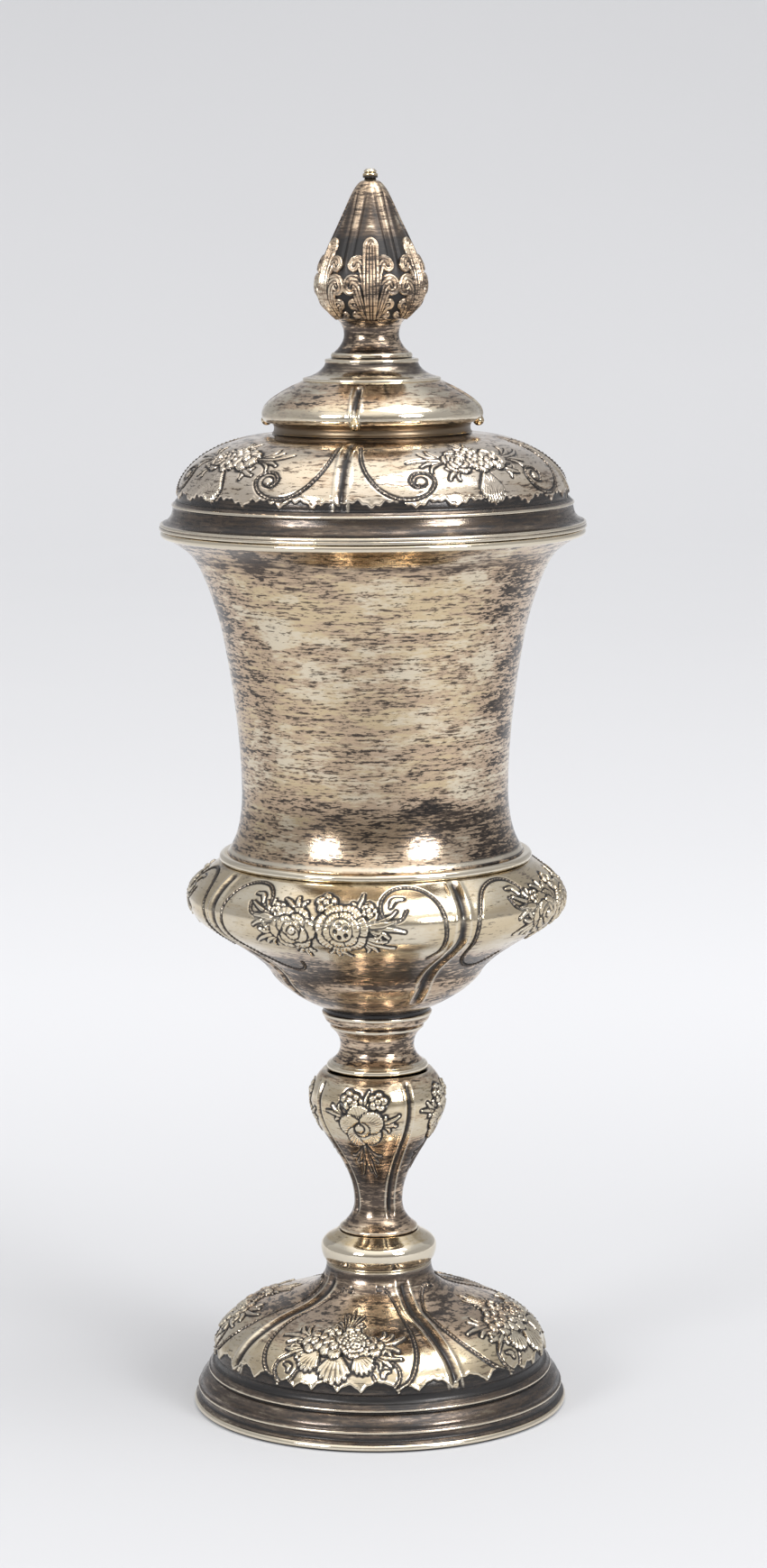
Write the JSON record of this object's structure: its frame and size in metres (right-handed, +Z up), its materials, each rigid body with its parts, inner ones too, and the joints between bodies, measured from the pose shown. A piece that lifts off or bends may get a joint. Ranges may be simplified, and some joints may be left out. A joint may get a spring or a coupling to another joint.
{
  "type": "covered goblet",
  "caption": "Tall covered silver goblet: domed chased foot, baluster stem, bellied bowl with flared beaker, lift-off domed lid with leaf-bud finial.",
  "frame": {"origin": "centre of the foot's rim on the surface that the goblet stands on", "axes": "+Z up along the stem, -Y toward the front of the picture, +X to its right"},
  "size_m": [0.1092, 0.1092, 0.32],
  "materials": {
    "polished_silver": "polished",
    "tarnished_silver": "gloss",
    "chased_silver": "gloss",
    "gilt_silver": "polished",
    "iron": "satin"
  },
  "bodies": {
    "goblet": {"foot_rim_wire": "polished_silver", "foot_plinth": "tarnished_silver", "foot_dome": "chased_silver", "stem_knop": "polished_silver", "stem_baluster": "chased_silver", "stem_top_ring": "polished_silver", "stem_neck": "tarnished_silver", "bowl_seat": "tarnished_silver", "bowl_bulge": "chased_silver", "waist_wire": "polished_silver", "bowl_beaker": "tarnished_silver", "lip_wire": "polished_silver", "bowl_boss": "iron", "tie_rod": "iron", "tie_washer": "iron", "tie_nut": "iron"},
    "lid_collar": {"lid_bezel": "gilt_silver"},
    "lid": {"lid_flange": "tarnished_silver", "lid_dome": "chased_silver", "lid_neck": "gilt_silver", "lid_cap": "polished_silver", "finial_base": "tarnished_silver", "finial_neck": "tarnished_silver", "finial_bud": "chased_silver", "finial_leaves": "chased_silver", "finial_bolt": "polished_silver", "finial_washer": "iron", "finial_nut": "iron"}
  },
  "joints": [
    {"name": "lid_lift", "type": "slide", "parent": "goblet", "child": "lid_collar", "axis": [0, 0, 1], "range_m": [0, 0.08]},
    {"name": "lid_turn", "type": "hinge", "parent": "lid_collar", "child": "lid", "pos_m": [0, 0, 0.2294], "axis": [0, 0, 1], "continuous": true}
  ]
}
